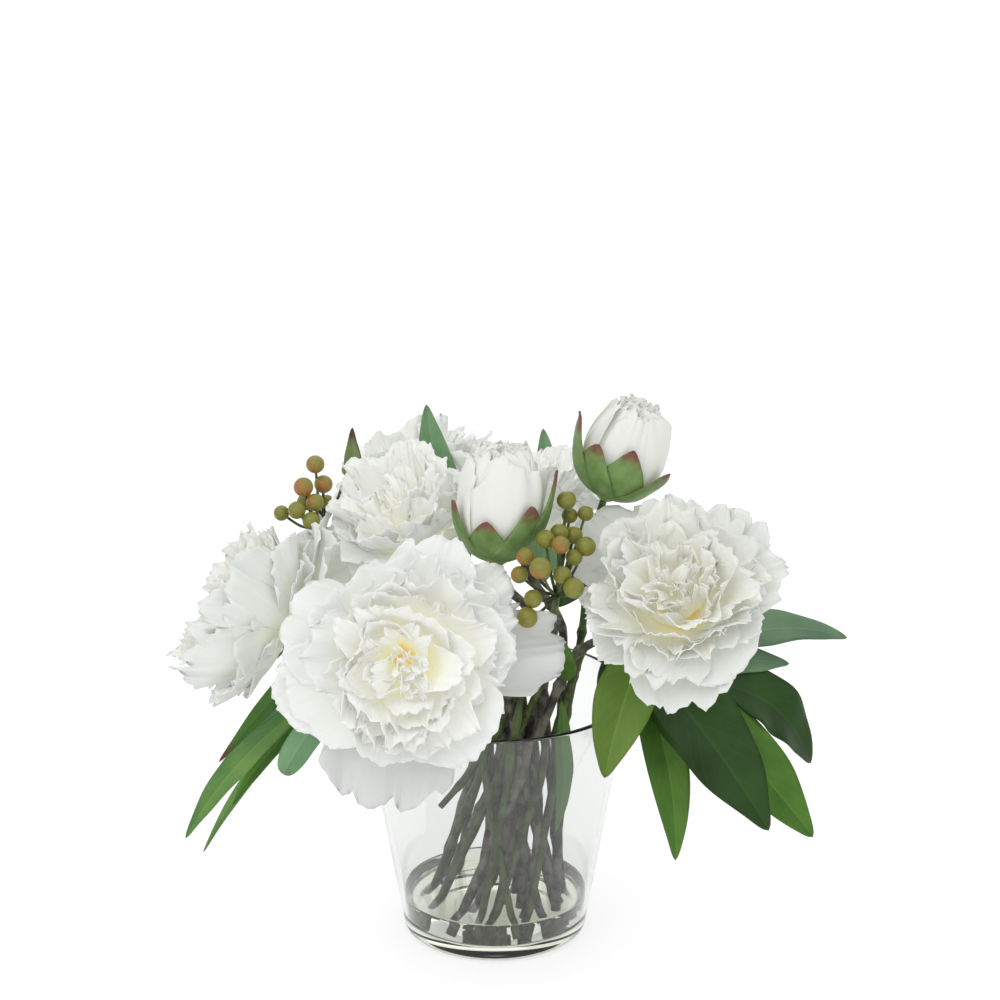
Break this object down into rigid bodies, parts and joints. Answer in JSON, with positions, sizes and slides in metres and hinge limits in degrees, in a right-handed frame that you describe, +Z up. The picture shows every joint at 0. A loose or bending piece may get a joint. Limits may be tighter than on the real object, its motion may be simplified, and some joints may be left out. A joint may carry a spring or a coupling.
{
  "type": "peony arrangement in a glass vase",
  "caption": "Low bunch of open white peonies with buds, berry sprays and leaves, standing in water in a wide tapered clear glass vase.",
  "frame": {"origin": "centre of the underside of the glass vase", "axes": "+Z up along the vase's axis; -Y is the front, the side that the large open bloom faces; +X is the viewer's right"},
  "size_m": [0.3787, 0.286, 0.3149],
  "materials": {
    "glass": "clear polished",
    "water": "clear liquid",
    "guard_petals": "soft matte",
    "heart_petals": "soft matte",
    "sepals": "waxy",
    "woody_stem": "bark",
    "berries": "waxy",
    "leaf": "satin"
  },
  "bodies": {
    "root": {"glass_vase": "glass", "water": "water", "front_guard_petals": "guard_petals", "front_heart_petals": "heart_petals", "front_calyx": "sepals", "front_stem": "woody_stem", "right_guard_petals": "guard_petals", "right_heart_petals": "heart_petals", "right_calyx": "sepals", "right_stem": "woody_stem", "left_guard_petals": "guard_petals", "left_heart_petals": "heart_petals", "left_calyx": "sepals", "left_stem": "woody_stem", "upper_left_guard_petals": "guard_petals", "upper_left_heart_petals": "heart_petals", "upper_left_calyx": "sepals", "upper_left_stem": "woody_stem", "back_centre_guard_petals": "guard_petals", "back_centre_heart_petals": "heart_petals", "back_centre_calyx": "sepals", "back_centre_stem": "woody_stem", "back_left_guard_petals": "guard_petals", "back_left_heart_petals": "heart_petals", "back_left_calyx": "sepals", "back_left_stem": "woody_stem", "front_bud_petals": "heart_petals", "front_bud_sepals": "sepals", "front_bud_stem": "woody_stem", "top_bud_petals": "heart_petals", "top_bud_sepals": "sepals", "top_bud_stem": "woody_stem", "left_twig": "woody_stem", "right_twig": "woody_stem", "left_berries": "berries", "centre_berries": "berries", "cut_stem_1": "woody_stem", "cut_stem_2": "woody_stem", "cut_stem_3": "woody_stem", "cut_stem_4": "woody_stem", "left_leaf_narrow": "leaf", "left_leaf_upper": "leaf", "left_leaf_long": "leaf", "left_leaf_blunt": "leaf", "left_leaf_behind": "leaf", "left_leaf_low": "leaf", "right_leaf_front": "leaf", "right_leaf_large": "leaf", "right_leaf_hanging": "leaf", "right_leaf_bright": "leaf", "right_leaf_dark": "leaf", "right_leaf_far": "leaf", "right_leaf_small": "leaf", "neck_leaf_light": "leaf", "neck_leaf_dark": "leaf", "top_leaf_left": "leaf", "top_leaf_centre": "leaf", "top_leaf_back": "leaf", "back_leaf": "leaf", "vase_leaf": "leaf"}
  },
  "joints": []
}
